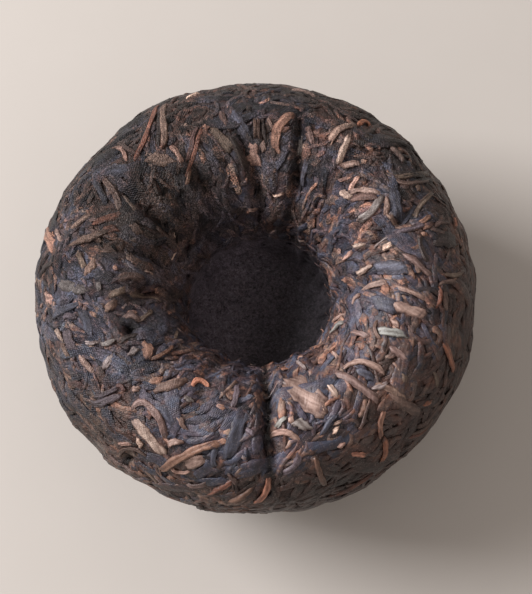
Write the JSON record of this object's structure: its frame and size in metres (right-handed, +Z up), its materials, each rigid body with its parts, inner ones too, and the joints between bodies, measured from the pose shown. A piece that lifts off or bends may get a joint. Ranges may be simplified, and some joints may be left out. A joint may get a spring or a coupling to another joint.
{
  "type": "pressed pu-erh tea cake",
  "caption": "Bowl-nest tea cake of dark pressed leaves: a rounded dome below, a thick rolled rim, and a deep hollow with a steep pit in the middle of the upper side.",
  "frame": {"origin": "middle of the small flat spot under the dome, on which the cake rests", "axes": "+Z up through the middle of the hollow, -Y towards the side that is nearest in the picture, +X to the right there"},
  "size_m": [0.0835, 0.0826, 0.0469],
  "materials": {
    "pressed_tea": "dry pressed leaf, dull with a faint silky gloss on the flattened leaves"
  },
  "bodies": {
    "root": {"tuocha": "pressed_tea"}
  },
  "joints": []
}
